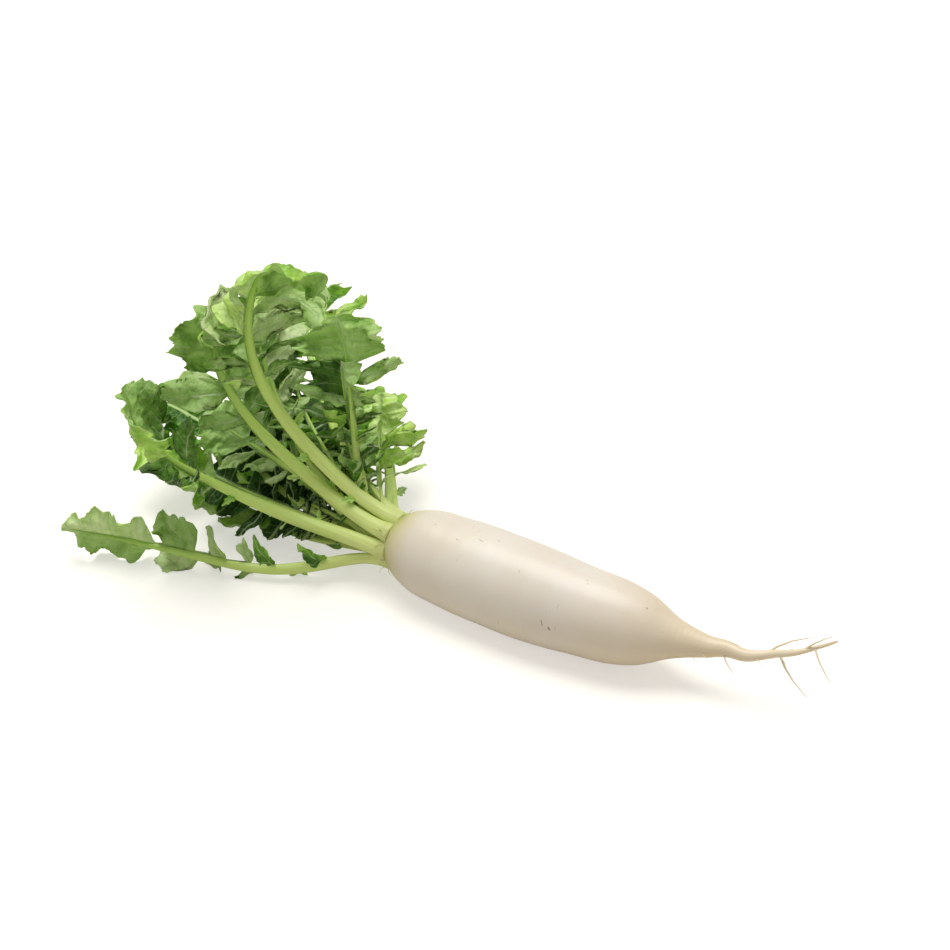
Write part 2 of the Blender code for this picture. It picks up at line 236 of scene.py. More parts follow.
def white_skin():
    """Thin waxy skin over wet flesh: a soft sheen, cream white, greener at the crown, tan at the taper."""
    made, tree = new_material("waxy_white_skin")
    place = node(tree, "ShaderNodeTexCoord").outputs["Object"]
    along = node(tree, "ShaderNodeSeparateXYZ", links={0: place}).outputs["X"]
    wander = node(tree, "ShaderNodeTexNoise", {"Scale": 1 / WANDER_SIZE, "Detail": 3.0}, {"Vector": place})
    shifted = node(
        tree, "ShaderNodeMath", {"operation": "MULTIPLY_ADD", 1: 0.03}, {0: wander, 2: along}
    )
    share = node(
        tree,
        "ShaderNodeMapRange",
        {"From Min": 0.015 - BELLY_AT, "From Max": 0.015 + ROOT_END - BELLY_AT},
        {"Value": shifted},
    )
    stops = [(0.0, "c6cc80"), (0.015, "dedca4"), (0.04, "ece5c6"), (0.08, "efe9de"), (0.45, "efe9e1")]
    stops += [(0.60, "eee4d4"), (0.72, "ecdfc6"), (0.88, "f4e9d2")]
    base = node(tree, "ShaderNodeValToRGB", {"stops": stops}, {"Fac": share})
    # Faint clouds, a few centimetres across
    cloud = node(tree, "ShaderNodeTexNoise", {"Scale": 1 / CLOUD_SIZE, "Detail": 5.0}, {"Vector": place})
    clouded = node(
        tree,
        "ShaderNodeMixRGB",
        {"blend_type": "MULTIPLY", "Color2": linear("f1e6d2")},
        {"Fac": cloud, "Color1": base},
    )
    # Fine pores, each drawn out round the root
    stretched = node(
        tree, "ShaderNodeMapping", {"Scale": (1.0, 0.28, 0.28)}, {"Vector": place}
    )
    pores = node(tree, "ShaderNodeTexVoronoi", {"Scale": 1 / PORE_SPACING}, {"Vector": stretched})
    pore = node(
        tree,
        "ShaderNodeMapRange",
        {"From Min": 0.05, "From Max": 0.16, "To Min": 0.34, "To Max": 0.0},
        {"Value": pores},
    )
    patch = node(tree, "ShaderNodeTexNoise", {"Scale": 1 / PORE_PATCH, "Detail": 2.0}, {"Vector": place})
    where = node(
        tree, "ShaderNodeMapRange", {"From Min": 0.46, "From Max": 0.66}, {"Value": patch}
    )
    pored = node(tree, "ShaderNodeMath", {"operation": "MULTIPLY"}, {0: pore, 1: where})
    skin = node(
        tree, "ShaderNodeMixRGB", {"Color2": linear("b49a70")}, {"Fac": pored, "Color1": clouded}
    )
    # Small brown corky dots where the body narrows to the tail
    dots = node(tree, "ShaderNodeTexVoronoi", {"Scale": 1 / DOT_SPACING}, {"Vector": place})
    dot = node(
        tree,
        "ShaderNodeMapRange",
        {"From Min": 0.06, "From Max": 0.13, "To Min": 0.75, "To Max": 0.0},
        {"Value": dots},
    )
    near = node(
        tree,
        "ShaderNodeValToRGB",
        {"stops": [(0.36, "000000"), (0.54, "ffffff"), (0.70, "ffffff"), (0.80, "000000")]},
        {"Fac": share},
    )
    near_taper = node(tree, "ShaderNodeMath", {"operation": "MULTIPLY"}, {0: near, 1: where})
    dotted = node(tree, "ShaderNodeMath", {"operation": "MULTIPLY"}, {0: dot, 1: near_taper})
    skin = node(
        tree, "ShaderNodeMixRGB", {"Color2": linear("a8865a")}, {"Fac": dotted, "Color1": skin}
    )
    height = node(tree, "ShaderNodeMath", {"operation": "MULTIPLY_ADD", 1: -0.6}, {0: pored, 2: cloud})
    bump = node(
        tree, "ShaderNodeBump", {"Strength": 0.10, "Distance": 0.001}, {"Height": height}
    )
    shader = node(
        tree,
        "ShaderNodeBsdfPrincipled",
        {
            "Roughness": 0.36,
            "Specular IOR Level": 0.42,
            "Subsurface Weight": 0.15,
            "Subsurface Radius": (1.0, 0.75, 0.5),
            "Subsurface Scale": 0.003,
        },
        {"Base Color": skin, "Normal": bump},
    )
    node(tree, "ShaderNodeOutputMaterial", links={"Surface": shader})
    return made


skin_finish = white_skin()
build_root(skin_finish)

# ---------------------------------------------------------------- the rootlets
# Thin side roots on the tail, and finer hairs among them. They are the same flesh as the root and grow
# out of it, so their feet are sunk in the tail.

# Distance from the crown face, clock angle, length, radius, bend towards the floor
ROOTLETS = [
    (0.236, 200, 0.016, 0.0006, 0.4),
    (0.262, 50, 0.030, 0.0007, -0.1),
    (0.270, 240, 0.030, 0.0007, 0.2),
    (0.284, 70, 0.022, 0.0006, -0.4),
    (0.290, 200, 0.024, 0.0006, 0.6),
]
HAIRS = 16
HAIR_RADIUS = 0.00028
STRAND_LOWEST = 0.0012  # the middle of a strand stays above this


def add_strand(name, start, heading, length, radius, sag, kink, finish):
    """One thin strand that starts along the heading, wavers and sags to the floor."""
    points = [start]
    steps = 24
    phase = float(start @ (900, 700, 500))
    for i in range(steps):
        waver = kink * np.array([0.3, math.sin(0.9 * i + phase), math.cos(0.7 * i + 2 * phase)])
        heading = unit(heading + waver + np.array([0.03, 0, -sag / steps * 1.6]))
        points.append(points[-1] + heading * length / steps)
    line = np.array(points)
    line[:, 2] = np.maximum(line[:, 2], STRAND_LOWEST)
    radii = radius * np.linspace(1.25, 0.3, steps + 1)
    rings, _ = rings_along(line, radii, 8, (0.1, 0.2, 1))
    add_piece(name, rings.reshape(-1, 3), tube_faces(steps + 1, 8), [finish])


def add_hair(name, s, clock, length, radius, sag, kink, finish):
    """One thin root that leaves the tail slantwise."""
    turn = math.radians(clock)
    outward = np.array([0, math.cos(turn), math.sin(turn)])
    start = root_line(s) + tail_kink(s) + outward * 0.5 * float(smooth(ROOT_PROFILE, s))
    heading = unit(outward + np.array([0.7, 0, 0]))
    add_strand(name, start, heading, length, radius, sag, kink, finish)


for number, (s, clock, length, radius, sag) in enumerate(ROOTLETS):
    add_hair(f"rootlet_{number + 1}", s, clock, length, radius, sag, 0.05, skin_finish)
chance = np.random.default_rng(11)
for number in range(HAIRS):
    s = chance.uniform(0.205, 0.288)
    length = chance.uniform(0.006, 0.016)
    clock = chance.uniform(0, 360)
    add_hair(f"root_hair_{number + 1}", s, clock, length, HAIR_RADIUS, 0.5, 0.10, skin_finish)

# ---------------------------------------------------------------- the scars
# Short brown cracks where the growing root was bruised. They are dry cork, level with the skin.

# Distance from the crown face, clock angle, length, width, slant
SCARS = [
    (0.130, 170, 0.011, 0.0005, 1.2),
    (0.135, 175, 0.005, 0.0010, 0.8),
    (0.035, 100, 0.004, 0.0004, 0.4),
    (0.070, 100, 0.006, 0.0004, 0.2),
    (0.080, 90, 0.004, 0.0003, 0.5),
    (0.055, 110, 0.004, 0.0003, 0.3),
    (0.105, 120, 0.004, 0.0003, 0.9),
]


def dry_cork(name, colour):
    """Dry cork: dull and darker than the skin round it."""
    made, tree = new_material(name)
    shader = node(
        tree, "ShaderNodeBsdfPrincipled", {"Base Color": linear(colour), "Roughness": 0.8}
    )
    node(tree, "ShaderNodeOutputMaterial", links={"Surface": shader})
    return made


def add_scar(number, s, clock, length, width, slant, finish):
    """A thin crack that follows the skin, slanting round the root."""
    steps = np.linspace(-0.5, 0.5, 13)
    at = s + steps * length * math.cos(slant)
    radii = smooth(ROOT_PROFILE, at)
    turn = math.radians(clock) + steps * length * math.sin(slant) / radii
    out = np.stack([0 * at, np.cos(turn), np.sin(turn)], axis=-1)
    skin = root_line(at) + out * radii[:, None]
    line = skin + out * (lumps(skin, radii) - 0.5 * width)[:, None]
    rings, _ = rings_along(line, width * (1.02 - (2 * steps) ** 2), 8, (0.2, 0.3, 1))
    add_piece(f"root_scar_{number + 1}", rings.reshape(-1, 3), tube_faces(13, 8), [finish])


brown_cork = dry_cork("brown_cork", "b09676")
pale_cork = dry_cork("pale_cork", "cdbfa6")
for number, (s, clock, length, width, slant) in enumerate(SCARS):
    finish = brown_cork if width > 0.0004 else pale_cork
    add_scar(number, s, clock, length, width, slant, finish)

# ---------------------------------------------------------------- the crown
# The short green stem in the middle of the crown face. The inner leaves stand on its end, and round it
# stand the dry scales and the fibres of leaves that have fallen.

CROWN_RADIUS = 0.0085
CROWN_LENGTH = 0.0120
GAP = 0.0003
SCALES = 7
FIBRES = 26
FIBRE_RADIUS = 0.00022
MOTTLE_SIZE = 0.004


def crown_flesh():
    """Firm stem flesh: a dull, slightly clear surface, pale where it leaves the root, green at its end."""
    made, tree = new_material("green_stem_flesh")
    place = node(tree, "ShaderNodeTexCoord").outputs["Object"]
    along = node(tree, "ShaderNodeSeparateXYZ", links={0: place}).outputs["X"]
    share = node(
        tree,
        "ShaderNodeMapRange",
        {"From Min": -BELLY_AT - CROWN_LENGTH - 0.008, "From Max": -BELLY_AT + 0.002},
        {"Value": along},
    )
    stops = [(0.0, "8fae4a"), (0.55, "b9c678"), (1.0, "e0dfae")]
    base = node(tree, "ShaderNodeValToRGB", {"stops": stops}, {"Fac": share})
    mottle = node(tree, "ShaderNodeTexNoise", {"Scale": 1 / MOTTLE_SIZE, "Detail": 4.0}, {"Vector": place})
    mixed = node(
        tree,
        "ShaderNodeMixRGB",
        {"blend_type": "MULTIPLY", "Color2": linear("c9c98a")},
        {"Fac": mottle, "Color1": base},
    )
    bump = node(tree, "ShaderNodeBump", {"Strength": 0.3, "Distance": 0.001}, {"Height": mottle})
    shader = node(
        tree,
        "ShaderNodeBsdfPrincipled",
        {"Roughness": 0.5, "Subsurface Weight": 0.15, "Subsurface Scale": 0.003},
        {"Base Color": mixed, "Normal": bump},
    )
    node(tree, "ShaderNodeOutputMaterial", links={"Surface": shader})
    return made


def build_crown(finish):
    """The stem's stump, a little wider at its foot."""
    foot = root_line(0.0)
    share = np.linspace(-0.12, 1, 28)
    line = foot - np.outer(GAP + CROWN_LENGTH * share, (1, 0, 0))
    radii = CROWN_RADIUS * (1.0 + 0.25 * np.exp(-(share + 0.12) / 0.12) - 0.05 * share**4)
    rings, out = rings_along(line, radii, 60)
    flat = rings.reshape(-1, 3)
    flat = flat + (0.0005 * bumps(flat, 0.004, 2.0))[:, None] * out.reshape(-1, 3)
    add_piece("crown_stem", flat, tube_faces(len(share), 60), [finish], "crown")


def add_scale(number, finish):
    """A dry leaf base: a short pale tongue that stands beside the stalks."""
    turn = 2 * math.pi * (number + 0.5) / SCALES
    outward = np.array([0, math.cos(turn), math.sin(turn)])
    size = 0.007 + 0.004 * ((number * 3) % SCALES) / SCALES
    share = np.linspace(0, 1, 12)
    foot = root_line(0.0) + outward * 0.0120 + np.array([0.0015, 0, 0])
    lean = np.outer(share**1.6, outward) * size * 0.55
    line = foot + np.outer(share * size, (-1, 0, 0)) + lean
    radii = 0.0021 * (1 - share**2.2) + 0.0002
    rings, _ = rings_along(line, radii, 12, outward)
    centre = line[:, None]
    thin = np.einsum("ijk,k->ij", rings - centre, outward)[..., None] * outward * 0.6
    flat = (rings - thin).reshape(-1, 3)
    add_piece(f"crown_scale_{number + 1}", flat, tube_faces(12, 12), [finish])


def add_fibre(number, chance, finish):
    """A fine pale hair that stands out between the feet of the stalks."""
    turn = chance.uniform(0, 2 * math.pi)
    outward = np.array([0, math.cos(turn), math.sin(turn)])
    start = root_line(0.0) + outward * chance.uniform(0.0150, 0.0185) + np.array([0.0008, 0, 0])
    heading = unit(outward * chance.uniform(0.2, 1.2) + np.array([-1.0, 0, 0]))
    length = chance.uniform(0.005, 0.013)
    name = f"crown_fibre_{number + 1:02d}"
    add_strand(name, start, heading, length, FIBRE_RADIUS, 0.2, 0.22, finish)


crown_finish = crown_flesh()
build_crown(crown_finish)
for number in range(SCALES):
    add_scale(number, crown_finish)
chance = np.random.default_rng(5)
for number in range(FIBRES):
    add_fibre(number, chance, crown_finish)

# ---------------------------------------------------------------- the leaf stalks
# Thick, juicy stalks in two rings round the crown. Each runs on under its blade as the midrib. They are
# round below, nearly flat above, finely ribbed along their length, and palest at the foot.

OUTER_RING = 0.0134
INNER_RING = 0.0054
YOUNG_RING = 0.0092
# How far the stalks' lines start from what they stand on
OUTER_FOOT = 0.0010
INNER_FOOT = 0.0006
STALK_RADIUS = {"outer": 0.0052, "inner": 0.0031, "young": 0.0020}
MIDRIB_TIP = 0.0006
STALK_GROOVE = 0.35  # height of the flat upper side, as a share of the radius
STALK_SIDES = 30
STALK_LOWEST = 0.0003
STALK_FULLNESS = 1.10  # the fresh stalk fills out a little past its plain form

# How a leaf grows: its length; its heading and its rise near the foot, half way and at the tip, and how
# far its face rolls, in degrees; the share of its stalk that is bare; its pairs of leaflets, the longest
# one's reach, and how far that curls, in radians
Habit = namedtuple("Habit", "length heading rise roll bare pairs reach curl")
OUTER_LEAVES = [  # from the near side, up over the crown and down on the far side
    Habit(0.225, (-30, -20, -30), (-10, 5, 10), -45, 0.40, 3, 0.024, 0.0),
    Habit(0.220, (-10, -25, -90), (5, 25, 80), -100, 0.55, 3, 0.046, -1.5),
    Habit(0.215, (5, -15, -60), (10, 45, 105), -10, 0.50, 3, 0.038, 0.0),
    Habit(0.260, (-5, -10, 55), (25, 65, 160), 45, 0.50, 4, 0.056, -2.0),
    Habit(0.220, (15, 35, 45), (15, 30, 0), -90, 0.50, 4, 0.044, 0.0),
    Habit(0.120, (35, 50, -5), (5, 30, 25), -80, 0.45, 3, 0.050, -1.0),
    Habit(0.220, (-5, 0, -20), (-8, 0, 45), -10, 0.40, 3, 0.034, 1.0),
]
INNER_LEAVES = [
    Habit(0.155, (5, 5, -5), (20, 10, 20), -75, 0.50, 3, 0.028, -0.5),
    Habit(0.150, (30, 45, 20), (35, 70, 65), 30, 0.50, 3, 0.044, -1.0),
    Habit(0.200, (5, 15, -5), (10, 50, 95), 70, 0.50, 3, 0.038, 1.0),
    Habit(0.170, (0, 40, 40), (-5, -5, 60), -70, 0.50, 3, 0.032, -1.0),
    Habit(0.205, (-5, 15, 5), (5, 10, 0), 15, 0.45, 3, 0.032, 0.5),
]
OUTER_START = 232  # place of each ring's first leaf round the crown: 0 is towards +Y, 90 upwards
INNER_START = 192
Leaf = namedtuple("Leaf", ("name", "ring", "clock", "seed", *Habit._fields))


def all_leaves():
    """The leaves of both rings, evenly spaced round the crown."""
    leaves = []
    rings = (("outer", OUTER_START, OUTER_LEAVES), ("inner", INNER_START, INNER_LEAVES))
    for ring, start, habits in rings:
        for place, habit in enumerate(habits):
            number = len(leaves) + 1
            clock = start - 360 / len(habits) * place
            leaves.append(Leaf(f"leaf_{number:02d}", ring, clock, number, *habit))
    return leaves


Path = namedtuple("Path", "length line along across up radius")


def leaf_path(leaf):
    """The stalk's line from foot to tip, with its three directions and its radius."""
    count = 161
    share = np.linspace(0, 1, count)
    turns = []
    for near, middle, tip in (leaf.heading, leaf.rise):
        bends = [(0, near * 0.3), (0.10, near), (0.5, middle), (1, tip)]
        turns.append(np.radians(smooth(bends, share)))
    heading, rise = turns
    flat = np.cos(rise)
    along = np.stack([-flat * np.cos(heading), flat * np.sin(heading), np.sin(rise)], axis=-1)
    clock = math.radians(leaf.clock)
    outward = np.array([0, math.cos(clock), math.sin(clock)])
    if leaf.ring == "inner":
        foot = outward * INNER_RING - np.array([CROWN_LENGTH + 2 * GAP + INNER_FOOT, 0, 0])
    elif leaf.ring == "young":
        foot = outward * YOUNG_RING - np.array([CROWN_LENGTH / 2, 0, 0])
    else:
        foot = outward * OUTER_RING - np.array([GAP + OUTER_FOOT, 0, 0])
    steps = (along[1:] + along[:-1]) / 2 * leaf.length / (count - 1)
    line = root_line(0.0) + foot + np.concatenate([np.zeros((1, 3)), np.cumsum(steps, axis=0)])
    up = np.empty_like(along)
    up[0] = unit(-outward + along[0] * np.dot(outward, along[0]))
    for i in range(1, count):
        up[i] = unit(up[i - 1] - along[i] * np.dot(up[i - 1], along[i]))
    across = np.cross(up, along)
    roll = np.radians(leaf.roll) * np.clip(share / leaf.bare, 0, 1)
    cos, sin = np.cos(roll)[:, None], np.sin(roll)[:, None]
    up, across = up * cos + across * sin, across * cos - up * sin
    widths = [(0, 1), (0.08, 0.92), (0.22, 0.84), (leaf.bare, 0.66), (0.8, 0.32)]
    radius = STALK_RADIUS[leaf.ring] * np.interp(share, *zip(*widths, (1, 0)))
    return Path(leaf.length, line, along, across, up, np.maximum(radius, MIDRIB_TIP))


def read(path, field, s):
    """One of the path's values at distance s along it."""
    values = getattr(path, field)
    places = np.linspace(0, path.length, len(values))
    if values.ndim == 1:
        return np.interp(s, places, values)
    return np.stack([np.interp(s, places, column) for column in values.T], axis=-1)


def stalk_flesh():
    """Juicy stalk: satin and a little clear, palest at the foot, yellow-green and streaked along it."""
    made, tree = new_material("juicy_green_stalk")
    strand = node(tree, "ShaderNodeAttribute", {"attribute_name": "strand"}).outputs["Vector"]
    parts = node(tree, "ShaderNodeSeparateXYZ", links={0: strand})
    stops = [(0.0, "e8eaa8"), (0.03, "f0f6ac"), (0.20, "eefaa2"), (0.55, "dcf48c"), (0.75, "bcde74")]
    stops.append((1.0, "98be5c"))
    base = node(tree, "ShaderNodeValToRGB", {"stops": stops}, {"Fac": parts.outputs["X"]})
    # Fine streaks, about 25 mm long and less than 1 mm wide
    stretched = node(tree, "ShaderNodeMapping", {"Scale": (2.5, 6.0, 1.0)}, {"Vector": strand})
    streak = node(tree, "ShaderNodeTexNoise", {"Scale": 3.0, "Detail": 4.0}, {"Vector": stretched})
    streaked = node(
        tree,
        "ShaderNodeMixRGB",
        {"blend_type": "MULTIPLY", "Color2": linear("e4f0be")},
        {"Fac": streak, "Color1": base},
    )
    bump = node(tree, "ShaderNodeBump", {"Strength": 0.12, "Distance": 0.0008}, {"Height": streak})
    shader = node(
        tree,
        "ShaderNodeBsdfPrincipled",
        {
            "Roughness": 0.38,
            "Specular IOR Level": 0.45,
            "Subsurface Weight": 0.25,
            "Subsurface Radius": (0.7, 1.0, 0.25),
            "Subsurface Scale": 0.003,
        },
        {"Base Color": streaked, "Normal": bump},
    )
    node(tree, "ShaderNodeOutputMaterial", links={"Surface": shader})
    return made


def build_stalk(leaf, path, finish, node_name=None):
    """A ribbed stalk with a shallow channel along its upper side, flared where it joins the plant."""
    foot = np.linspace(-0.0030, 0.018, 22)
    places = np.concatenate([foot, np.linspace(0.02, 0.975 * leaf.length, 110)])
    turn = np.linspace(0, 2 * math.pi, STALK_SIDES, endpoint=False)
    side, rise = np.cos(turn), np.sin(turn)
    channel = 1 - 0.35 * np.exp(-((side / 0.3) ** 2))
    top = np.where(rise > 0, STALK_GROOVE * np.abs(rise) ** 0.7 * channel, rise)
    ribs = 1 + 0.035 * np.cos(9 * turn)
    points = []
    for s in places:
        fields = ("line", "across", "up", "along")
        centre, across, up, along = (read(path, f, max(s, 0)) for f in fields)
        centre = centre + along * min(s, 0)
        flare = STALK_FULLNESS + 0.20 * math.exp(-max(s, 0) / 0.005)
        radius = float(read(path, "radius", max(s, 0))) * flare
        if s > 0.93 * leaf.length:
            radius *= max(0.15, (leaf.length - s) / (0.07 * leaf.length))
        points.append(centre + radius * (np.outer(side * ribs, across) + np.outer(top * ribs, up)))
    flat = np.concatenate(points)
    flat[:, 2] = np.maximum(flat[:, 2], STALK_LOWEST)
    piece = add_piece(
        f"{leaf.name}_stalk_skin",
        flat,
        tube_faces(len(places), STALK_SIDES),
        [finish],
        node_name,
    )
    strand = piece.data.attributes.new("strand", "FLOAT_VECTOR", "POINT")
    share = np.repeat(places / leaf.length, STALK_SIDES)
    values = np.stack([share, np.tile(side, len(places)), np.tile(rise, len(places))], axis=-1)
    strand.data.foreach_set("vector", values.ravel())


stalk_finish = stalk_flesh()
leaves = all_leaves()
paths = {leaf.name: leaf_path(leaf) for leaf in leaves}
for leaf in leaves:
    build_stalk(leaf, paths[leaf.name], stalk_finish, f"{leaf.name}_stalk")

# ---------------------------------------------------------------- the leaf blades
# Each blade is a thin, crinkled sheet on the upper side of its stalk, cut into toothed leaflets below a
# large end lobe. It is deep green above and paler below, and grows from the midrib that carries it.

WING = 0.0012  # the narrow blade between two leaflets
END_LOBE_AT = 0.52  # the share of the blade that lies below the end lobe
LEAFLET_SWEEP = 0.38  # how far a leaflet leans forward, as a share of its reach
# The edges of a leaflet and of the end lobe: share of its width or length, share of its reach
LEAFLET_EDGE = [(0.00, 0.00), (0.12, 0.64), (0.34, 0.97), (0.62, 1.00), (0.86, 0.66), (1.00, 0.00)]
LOBE_EDGE = [(0.00, 0.00), (0.07, 0.60), (0.17, 0.92), (0.27, 0.84), (0.38, 1.06), (0.48, 0.92)]
LOBE_EDGE += [(0.59, 0.98), (0.69, 0.78), (0.79, 0.70), (0.88, 0.44), (0.96, 0.26), (1.00, 0.08)]
LEAFLET_WIDTHS = (0.72, 0.92)  # how much of its room the lowest and the highest leaflet fills
LEAFLET_SPREAD = 1.35  # the real leaflets overlap, which the plain blade's don't
BLADE_FULLNESS = 1.06  # the teeth stand a little past the plain blade's edge
# Rows along a leaflet, rows along the end lobe, columns from the midrib to the edge
BLADE_GRID = {"outer": (34, 105, 22), "inner": (34, 105, 22), "young": (22, 50, 12)}
LEAFLET_RIB = 0.45  # where a leaflet's own midrib runs, as a share of its width
VEIN_SPACING = 0.0065
VEIN_WANDER = 0.011
TONE_PATCH = 0.017
VEIN_NET = 0.004  # the real net is half as wide, and too fine to show
PUCKER_SIZE = 0.008
TOOTH = 0.0050  # along the edge
TOOTH_DEPTH = 0.0024
SHEET = 0.00045
FLOOR_GAP = 0.0004
LOWEST = FLOOR_GAP + 0.00035  # the blades' middles stay above this
# How far the blade swells out of its plane, and over what length
CRINKLE = 0.0070
CRINKLE_SIZE = 0.012
FINE_CRINKLE = 0.0020
FINE_CRINKLE_SIZE = 0.0045
RUFFLE = 0.0110  # at the edge
RUFFLE_SIZE = 0.008
PUFF = 0.0009  # between two veins
# The leaflets on the stalk below the blade: their spacing, their size, and the big ones of one old leaf
SMALL_LEAFLET_SPACING = 0.024
SMALL_LEAFLET = 0.009
BIG_LEAFLETS = {"leaf_01": 0.021}
OPEN_TO = 0.80  # up to this share of the leaf the two halves of the blade stand apart beside the stalk

Strip = namedtuple("Strip", "near width full curl places reach lobe")


def blade_strips(leaf):
    """The leaflets from the lowest up, then the end lobe, with their sizes, curls and outlines."""
    rng = np.random.default_rng(leaf.seed)
    strips = []
    weights = np.linspace(0.75, 1.25, leaf.pairs)
    edges = leaf.bare + (1 - leaf.bare) * END_LOBE_AT * np.cumsum([0, *weights]) / weights.sum()
    sizes = np.linspace(0.45, 1.0, leaf.pairs) ** 0.8
    widths = np.diff(edges) * np.linspace(*LEAFLET_WIDTHS, leaf.pairs)
    nears = edges[:-1] - widths * (LEAFLET_SPREAD - 1) / 2
    for near, width, size in zip(nears, widths * LEAFLET_SPREAD, sizes):
        full = leaf.reach * size * rng.uniform(0.88, 1.12, 2)
        curl = np.stack([rng.uniform(-0.15, 0.35, 2), leaf.curl + rng.uniform(-0.5, 0.5, 2)])
        places = np.linspace(0, 1, BLADE_GRID[leaf.ring][0])
        reach = np.maximum(smooth(LEAFLET_EDGE, places), 0)
        strips.append(Strip(near, width, full, curl.T, places, [reach, reach], False))
    full = leaf.reach * 0.78 * np.ones(2)
    curl = np.stack([rng.uniform(-0.05, 0.3, 2), leaf.curl + rng.uniform(-0.3, 0.3, 2)])
    notches = np.array([rng.uniform(0.93, 1.07, 2) for _ in LOBE_EDGE])
    places = np.linspace(0, 1, BLADE_GRID[leaf.ring][1])
    reach = []
    for side in (0, 1):
        edge = [(p, r * n) for (p, r), n in zip(LOBE_EDGE, notches[:, side])]
        reach.append(np.maximum(smooth(edge, places), 0))
    strips.append(Strip(edges[-1], 1 - edges[-1], full, curl.T, places, reach, True))
    return strips


def blade_point(leaf, path, share, side, reach, full, curl):
    """Points of the blade, reach metres out from the midrib's edge along the leaflet's arc."""
    lean = LEAFLET_SWEEP * reach * np.minimum(1, leaf.length * (1 - share) / 0.05)
    at = leaf.length * share + lean
    centre, across, up = (read(path, f, at) for f in ("line", "across", "up"))
    edge, height = 0.85 * read(path, "radius", at), 0.25 * read(path, "radius", at)
    first, last = curl
    bend = (last - first) / full + 1e-6
    turn = first + bend * reach
    out = (np.sin(turn) - np.sin(first)) / bend
    lift = (np.cos(first) - np.cos(turn)) / bend
    facing = -side * np.sin(turn)[..., None] * across + np.cos(turn)[..., None] * up
    point = centre + (side * (edge + out))[..., None] * across + (height + lift)[..., None] * up
    return point, facing


def ragged_edge(distance, rng):
    """Teeth, and wider cuts every few teeth that part the blade into rough lobes."""
    return tooth_notches(distance, rng) + 1.8 * tooth_notches(distance / 3.2, rng)


def tooth_notches(distance, rng):
    """How far the edge steps back, in metres, at distances along it: uneven teeth that point forward."""
    ends = np.cumsum(rng.uniform(0.6, 1.4, 60)) * TOOTH - TOOTH * rng.uniform(0, 1)
    depths = rng.uniform(0.5, 1.2, 60) * TOOTH_DEPTH
    i = np.clip(np.searchsorted(ends, distance), 1, 59)
    part = (distance - ends[i - 1]) / (ends[i] - ends[i - 1])
    return depths[i] * np.where(part < 0.8, 1 - part / 0.8, (part - 0.8) / 0.2)


def blade_sheet(leaf, path):
    """The blade's points row by row, with the vein coordinates and the tones that its colours follow; on
    the young leaves the tones carry painted shade.
    """
    rng = np.random.default_rng(leaf.seed + 100)
    part = np.linspace(0, 1, BLADE_GRID[leaf.ring][2]) ** 0.9
    leaf_tone_and_shade = rng.uniform(-0.35, 0.45)
    if leaf.ring == "young":
        leaf_tone_and_shade = leaf.heading[1] / 25 - 1.5  # painted shade: a young leaf's green is made darker towards the near side, where the big stalks shade it
    rows, veins, tones = [], [], []
    for strip in blade_strips(leaf):
        wide = strip.width * leaf.length
        share = (strip.near + strip.width * strip.places)[:, None]
        halves = []
        for k, side in enumerate((-1, 1)):
            full = BLADE_FULLNESS * strip.full[k]
            notch = ragged_edge(strip.places * wide * 1.3, rng) * min(1, full / 0.035)
            notch = notch * np.minimum(1, 3 * strip.reach[k])
            most = np.maximum(full * strip.reach[k] - notch, 0)[:, None] + WING
            reach = most * part
            along = (strip.places[:, None] - LEAFLET_RIB) * wide + 0 * reach
            if not strip.lobe:
                ahead = ragged_edge(reach * 1.1, rng) * (along > 0)
                behind = ragged_edge(reach * 1.1, rng) * (along < 0)
                along = along * (1 - 0.8 * (ahead + behind) / max(0.45 * wide, 0.008))
            near = share + (along / wide + LEAFLET_RIB - strip.places[:, None]) * strip.width
            point, facing = blade_point(leaf, path, near, side, reach, full, strip.curl[k])
            spot = np.stack([share * leaf.length + 0 * reach, side * reach], axis=-1)
            spot = np.concatenate([spot, np.full((*reach.shape, 1), leaf.seed * 0.31)], axis=-1)
            spot = spot.reshape(-1, 3)
            crinkle = bumps(spot, CRINKLE_SIZE, 0.3).reshape(reach.shape)
            fine = bumps(spot, FINE_CRINKLE_SIZE, 5.3).reshape(reach.shape)
            ruffle = bumps(spot * (1, 0.3, 1), RUFFLE_SIZE, 7.1).reshape(reach.shape)
            twist = rng.uniform(-0.6, 0.6)
            if strip.lobe:
                order = strip.places[:, None] * wide / VEIN_SPACING + 0 * reach
                off = np.ones_like(reach)
            else:
                order = (reach - 0.8 * np.abs(along)) / VEIN_SPACING
                off = along
            puffs = np.abs(np.sin(math.pi * order))
            lift = CRINKLE * crinkle + FINE_CRINKLE * fine + RUFFLE * ruffle * part**2 + PUFF * puffs
            if not strip.lobe:
                lift = lift + 0.30 * np.abs(along) + (0.22 + twist * part) * along
            lift = lift * np.clip(reach / 0.006, 0, 1)
            # Each leaflet's tone: the leaf's tone, painted shade on the young leaves, and a random share
            tone = np.full_like(reach, leaf_tone_and_shade + rng.uniform(0, 1))
            vein = np.stack([off, order, reach], axis=-1)
            halves.append((point + lift[..., None] * facing, vein, tone))
        for whole, left, right in zip((rows, veins, tones), *halves):
            whole.append(np.concatenate([left[:, ::-1], right], axis=1))
    rows, veins, tones = (np.concatenate(whole) for whole in (rows, veins, tones))
    rows[:, :, 2] = np.maximum(rows[:, :, 2], LOWEST)
    return rows, veins, tones


